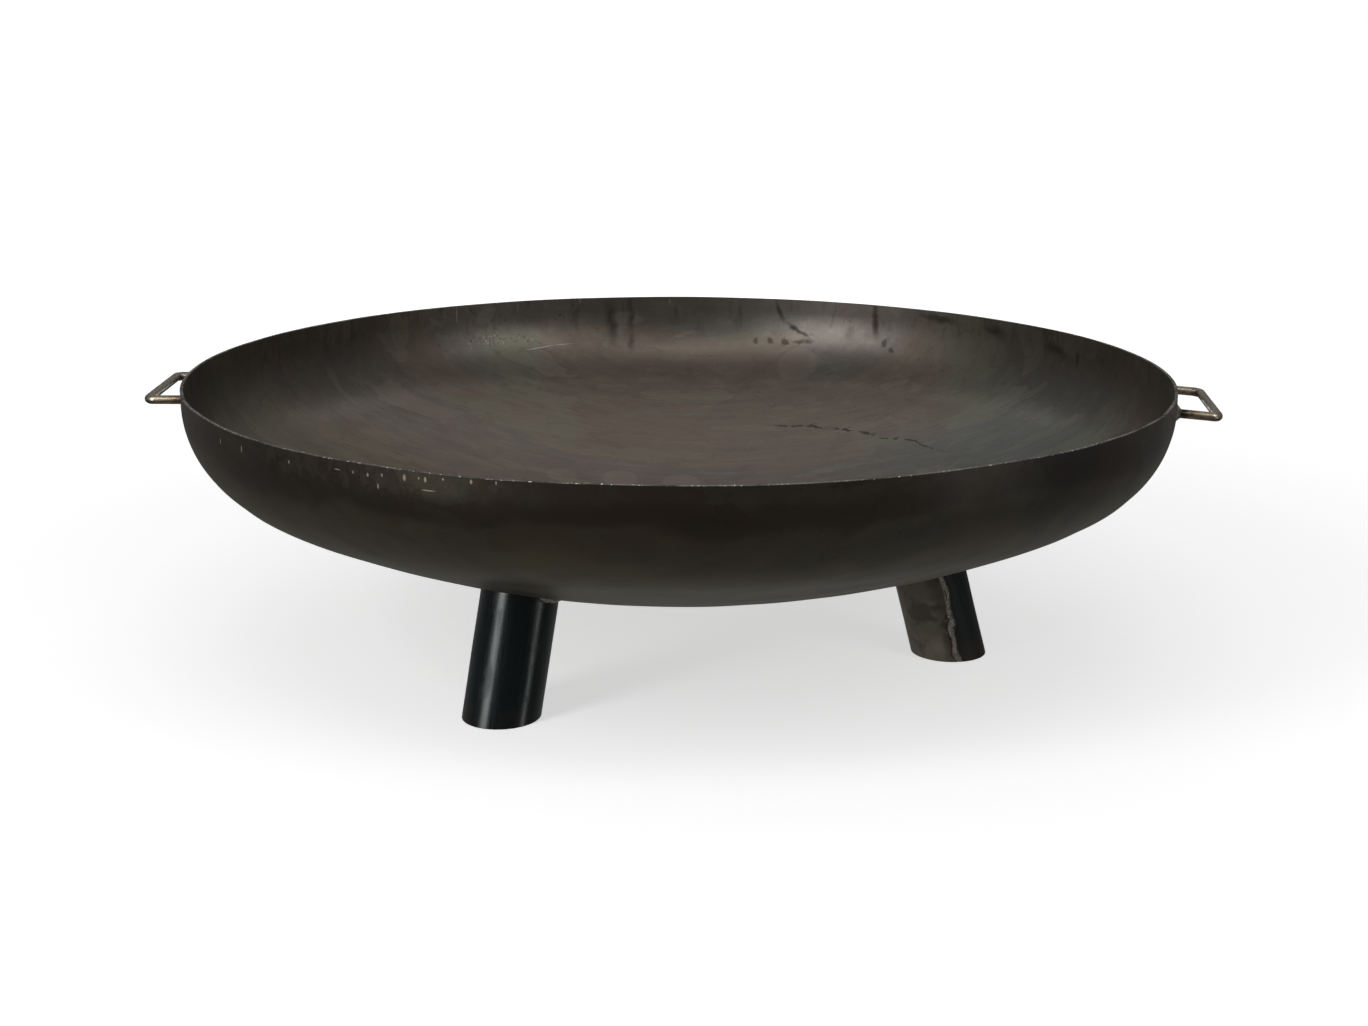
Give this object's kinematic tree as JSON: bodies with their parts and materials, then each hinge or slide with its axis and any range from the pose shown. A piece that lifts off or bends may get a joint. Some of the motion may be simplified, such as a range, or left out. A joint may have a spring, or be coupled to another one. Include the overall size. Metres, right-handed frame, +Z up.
{
  "type": "fire bowl",
  "caption": "Round fire bowl of raw steel: a shallow dished bowl on short splayed tube legs, with a bent round-bar handle on each side.",
  "frame": {"origin": "on the ground, on the bowl's axis", "axes": "+X through the two handles towards the right one, +Z up, the front is -Y"},
  "size_m": [1.0964, 1, 0.2938],
  "materials": {
    "bowl_steel": "raw hot-rolled sheet with dark mill scale, semi-matt",
    "leg_steel": "raw blue-black steel tube, satin",
    "handle_steel": "bare round bar with brown heat tint, satin",
    "weld_metal": "as-welded fillet, dark grey, rough"
  },
  "bodies": {
    "root": {"bowl": "bowl_steel", "leg_right": "leg_steel", "leg_rear_left": "leg_steel", "leg_front_left": "leg_steel", "handle_left": "handle_steel", "handle_right": "handle_steel", "weld_leg_right_1": "weld_metal", "weld_leg_right_2": "weld_metal", "weld_leg_rear_left_1": "weld_metal", "weld_leg_rear_left_2": "weld_metal", "weld_leg_front_left_1": "weld_metal", "weld_leg_front_left_2": "weld_metal", "weld_handle_left_front": "weld_metal", "weld_handle_left_rear": "weld_metal", "weld_handle_right_front": "weld_metal", "weld_handle_right_rear": "weld_metal"}
  },
  "joints": []
}
